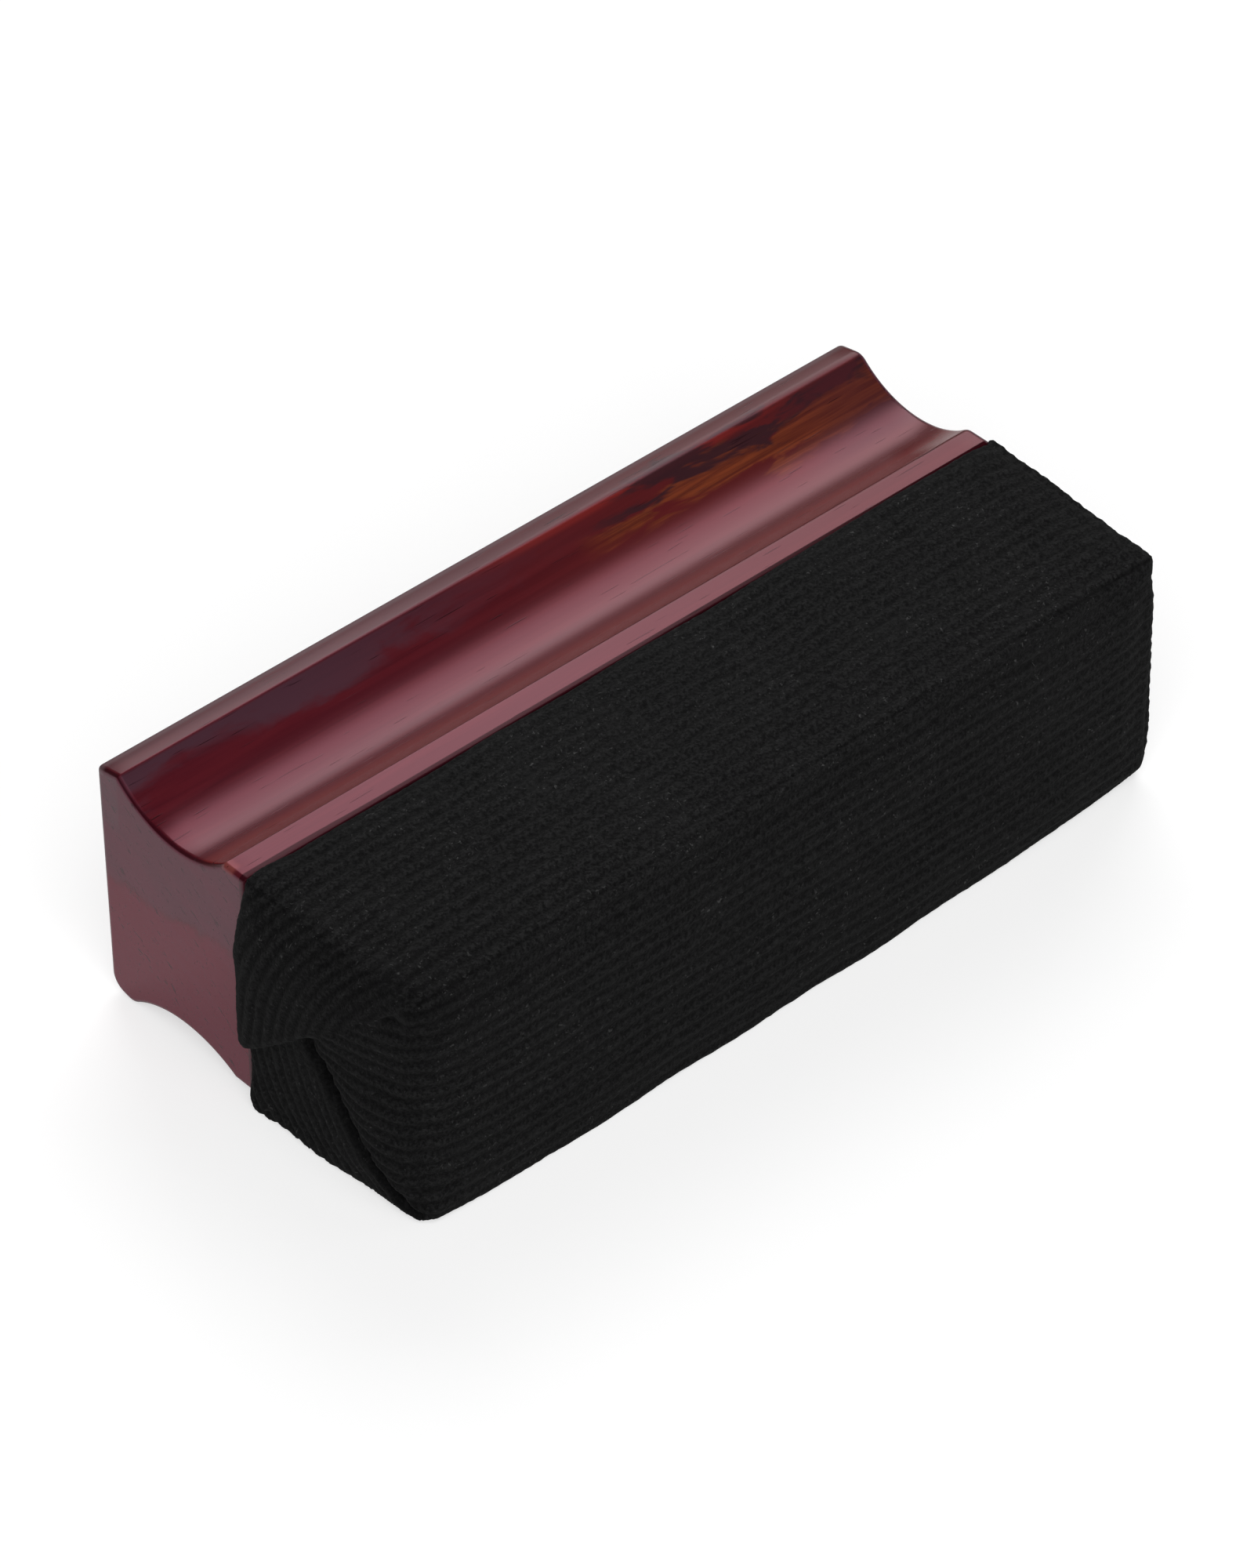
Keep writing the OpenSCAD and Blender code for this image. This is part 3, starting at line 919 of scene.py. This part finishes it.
# Cloth: patterns, the pile's span with dark and light, and patches as for the wood
CLOTH_NOISE = {
    "pile": ((1.9, 1.9, 1.9), 3, 0.7),
    "worn": ((0.07, 0.07, 0.07), 3, 0.6),
    "fluff": ((1.5, 1.5, 1.5), 2, 0.7, 0.6),
}
PILE = ((0.36, 0.66), (0.0040, 0.0040, 0.0041), (0.0165, 0.0165, 0.0167))
CLOTH_PATCHES = {
    "worn": ((0.0130, 0.0130, 0.0131), 0.3, (("worn", 0.4, 0.75),)),
    "lint": ((0.070, 0.070, 0.070), 0.7, (("fluff", 0.63, 0.70), ("worn", 0.40, 0.60))),
}
# Painted shade in the grooves, creases and shaded places: its colour and share
GROOVE_SHADE = (0.0014, 0.0014, 0.0015)
GROOVE_SHADE_SHARE = 0.34
CLOTH_ROUGH = 0.95
CLOTH_LEVEL = 0.05
SHEEN = (0.02, 0.5)
PILE_BUMP = (0.22, 0.8)


def corduroy_finish():
    """Black pile with worn places and lint, with painted shade in the grooves and creases, on the ends and
    along the upper edge.
    """
    m = Nodes("corduroy")
    at = {name: m.noise(*pattern) for name, pattern in CLOTH_NOISE.items()}
    cloth = painted(m, at, m.blend(at["pile"], *PILE), CLOTH_PATCHES)
    rib = m.node("ShaderNodeAttribute", attribute_name="rib").outputs["Fac"]
    groove = m.math("MULTIPLY", m.math("SUBTRACT", 1.0, rib), GROOVE_SHADE_SHARE, True)
    cloth = m.mix(groove, cloth, colour(*GROOVE_SHADE))
    return m.finish(Base_Color=cloth, Roughness=CLOTH_ROUGH, Specular_IOR_Level=CLOTH_LEVEL,
                    Sheen_Weight=SHEEN[0], Sheen_Roughness=SHEEN[1], Normal=m.bump(at["pile"], *PILE_BUMP))


# Inner pieces: material, dark and light, scale of the grain per millimetre, roughness and metal
INNER_FINISHES = {
    "handle_dowels": ("dowel_wood", (0.50, 0.34, 0.18), (0.66, 0.47, 0.27), (1.4, 0.1, 1.4), 0.6, 0.0),
    "core_board": ("plywood", (0.40, 0.26, 0.13), (0.58, 0.40, 0.22), (0.05, 0.9, 0.4), 0.65, 0.0),
    "foam_block": ("foam", (0.62, 0.55, 0.34), (0.76, 0.70, 0.48), (1.3, 1.3, 1.3), 0.9, 0.0),
    "felt_facing": ("felt", (0.16, 0.16, 0.17), (0.30, 0.30, 0.31), (0.9, 0.9, 0.9), 0.95, 0.0),
    "cover_staples": ("staple_wire", (0.5, 0.5, 0.5), (0.72, 0.72, 0.72), (2, 2, 2), 0.3, 1.0),
}
PLAIN_NOISE = (4, 0.6)
PLAIN_SPAN = (0.3, 0.7)
PLAIN_ROUGH_SPAN = (0.2, 0.8)
PLAIN_ROUGH_CHANGE = 0.06
PLAIN_BUMP = (0.15, 0.4)


def plain_finish(name, dark, light, grain, rough, metal):
    """A material of two close colours in patches of the given size, with a fine bump."""
    m = Nodes(name)
    patch = m.noise(grain, *PLAIN_NOISE)
    change = (rough - PLAIN_ROUGH_CHANGE, rough + PLAIN_ROUGH_CHANGE)
    return m.finish(Base_Color=m.blend(patch, PLAIN_SPAN, dark, light), Metallic=metal,
                    Roughness=m.ramp(patch, *PLAIN_ROUGH_SPAN, *change), Normal=m.bump(patch, *PLAIN_BUMP))


def dress(obj, material):
    """Gives the object this material alone."""
    obj.data.materials.clear()
    obj.data.materials.append(material)


dress(handle, wood_finish())
dress(cover, corduroy_finish())
for node, finish in INNER_FINISHES.items():
    dress(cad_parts[node], plain_finish(*finish))


# Stage: floor, lights and camera
FLOOR_HALF = 4000
FLOOR_GREY = (0.5, 0.5, 0.5)
FLOOR_ROUGH = 0.9
FLOOR_GLOW = 0.55
GLOSSY_SHARE = 0.5
WHITE = (1, 1, 1)

# Light from all round: heights over which it changes, and its strength at both
SKY_SPAN = (0.0, 0.3)
SKY_STRENGTH = (0.06, 0.09)

# Area lights: place and size in metres, and power
LIGHTS = {
    "key_light": ((-0.66, -0.84, 1.00), 1.5, 23),
    "back_light": ((0.772, 0.772, 1.028), 1.08, 13.0),
    "side_light": ((0.72, -0.60, 1.06), 0.6, 0.6),
}

# Camera fitted to the photograph, in metres
LENS = 149.15
SENSOR = 36.0
CAMERA_AT = (-0.4645, -0.50875, 0.61715)
CAMERA_RIGHT = (0.73854, -0.67420, -0.00300)
CAMERA_UP = (0.44416, 0.48318, 0.75449)
CAMERA_BACK = (-0.50723, -0.55856, 0.65630)


def floor_finish():
    """A white floor that keeps the object's shadow."""
    m = Nodes("floor_white")
    path = m.node("ShaderNodeLightPath")
    seen = m.math("MAXIMUM", path.outputs["Is Camera Ray"], path.outputs["Is Transmission Ray"])
    seen = m.math("MAXIMUM", seen, m.math("MULTIPLY", path.outputs["Is Glossy Ray"], GLOSSY_SHARE))
    strength = m.math("MULTIPLY", seen, FLOOR_GLOW)
    glow = m.node("ShaderNodeEmission", {"Color": colour(*WHITE), "Strength": strength})
    m.finish(Base_Color=colour(*FLOOR_GREY), Roughness=FLOOR_ROUGH, Specular_IOR_Level=0.0)
    both = m.node("ShaderNodeAddShader", {0: m.shader.outputs[0], 1: glow.outputs[0]})
    m.put(m.tree.nodes["Material Output"].inputs["Surface"], both.outputs[0])
    return m.material


def make_floor():
    """A wide floor under the object."""
    half = FLOOR_HALF
    corners = [(-half, -half, 0), (half, -half, 0), (half, half, 0), (-half, half, 0)]
    floor = mesh_object("floor", corners, [(0, 1, 2, 3)])
    floor.data.materials.append(floor_finish())


def make_world():
    """Soft light all round, a little brighter overhead than at the horizon."""
    world = bpy.data.worlds.new("studio")
    world.use_nodes = True
    tree = world.node_tree
    way = tree.nodes.new("ShaderNodeTexCoord").outputs["Generated"]
    split = tree.nodes.new("ShaderNodeSeparateXYZ")
    tree.links.new(way, split.inputs[0])
    fade = tree.nodes.new("ShaderNodeMapRange")
    fade.interpolation_type = "SMOOTHSTEP"
    for n, value in enumerate((*SKY_SPAN, *SKY_STRENGTH), 1):
        fade.inputs[n].default_value = value
    tree.links.new(split.outputs[2], fade.inputs[0])
    tree.links.new(fade.outputs[0], tree.nodes["Background"].inputs["Strength"])
    tree.nodes["Background"].inputs["Color"].default_value = colour(*WHITE)
    bpy.context.scene.world = world


def area_light(name, at, size, power):
    """A square light that faces the object."""
    light = bpy.data.lights.new(name, "AREA")
    light.shape, light.size, light.energy = "SQUARE", size, power
    obj = bpy.data.objects.new(name, light)
    obj.location = at
    obj.rotation_mode = "QUATERNION"
    obj.rotation_quaternion = (-Vector(at)).to_track_quat("-Z", "Y")
    bpy.context.scene.collection.objects.link(obj)


def make_camera():
    """The camera, placed and turned as in the photograph."""
    camera = bpy.data.cameras.new("camera")
    camera.lens = LENS
    camera.sensor_fit = "VERTICAL"
    camera.sensor_width = camera.sensor_height = SENSOR
    obj = bpy.data.objects.new("camera", camera)
    turn = Matrix((CAMERA_RIGHT, CAMERA_UP, CAMERA_BACK)).transposed().to_4x4()
    obj.matrix_world = Matrix.Translation(CAMERA_AT) @ turn
    bpy.context.scene.collection.objects.link(obj)
    bpy.context.scene.camera = obj


make_floor()
make_world()
for name, light in LIGHTS.items():
    area_light(name, *light)
make_camera()
bpy.context.scene.view_settings.view_transform = "Standard"
